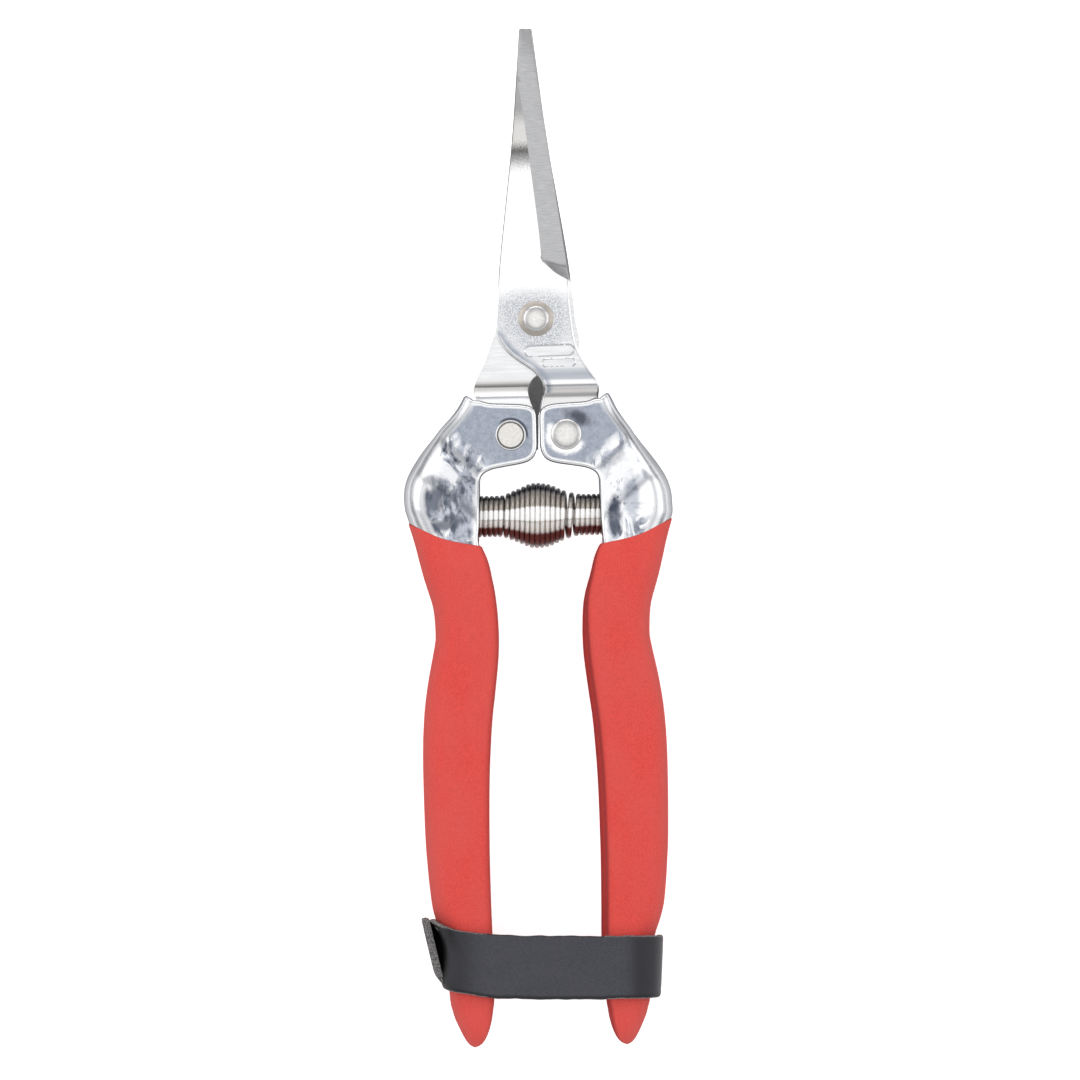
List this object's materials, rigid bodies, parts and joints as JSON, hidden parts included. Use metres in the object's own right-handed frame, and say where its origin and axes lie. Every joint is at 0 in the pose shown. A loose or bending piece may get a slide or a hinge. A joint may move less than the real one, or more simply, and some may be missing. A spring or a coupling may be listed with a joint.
{
  "type": "floral snips",
  "caption": "Hand snips for cutting stems: slim pointed blades on a rivet, channel handles with dipped grips, a barrel spring between them and a leather closing strap.",
  "frame": {"origin": "centre of the overall bounding box, which lies on the plane where the two blades meet", "axes": "+Y towards the blade tips, +Z out of the front face along the pivot axis, +X towards the handle that carries the front blade"},
  "size_m": [0.05, 0.1903, 0.015],
  "materials": {
    "blade_steel": "ground and polished stainless steel",
    "handle_chrome": "bright plated pressed sheet",
    "rivet_steel": "bright nickel-toned steel",
    "washer_steel": "warm grey plated steel",
    "grip_red": "matt dipped vinyl, coral red",
    "spring_steel": "bright drawn wire",
    "strap_leather": "black dyed leather, raw cut edges"
  },
  "bodies": {
    "left_half": {"back_blade": "blade_steel", "left_handle": "handle_chrome", "left_handle_rivet": "rivet_steel", "left_grip": "grip_red", "pivot_rivet": "rivet_steel", "pivot_washer": "washer_steel", "spring": "spring_steel"},
    "right_half": {"front_blade": "blade_steel", "right_handle": "handle_chrome", "right_handle_rivet": "rivet_steel", "right_grip": "grip_red"},
    "strap": {"strap": "strap_leather"}
  },
  "joints": [
    {"name": "handle_pivot", "type": "hinge", "parent": "left_half", "child": "right_half", "pos_m": [0, 0.04097, 0], "axis": [0, 0, 1], "range_deg": [0, 26], "deforming": ["spring", "strap"]},
    {"name": "strap_slide", "type": "slide", "parent": "left_half", "child": "strap", "axis": [0, -1, 0], "range_m": [0, 0.026]}
  ]
}
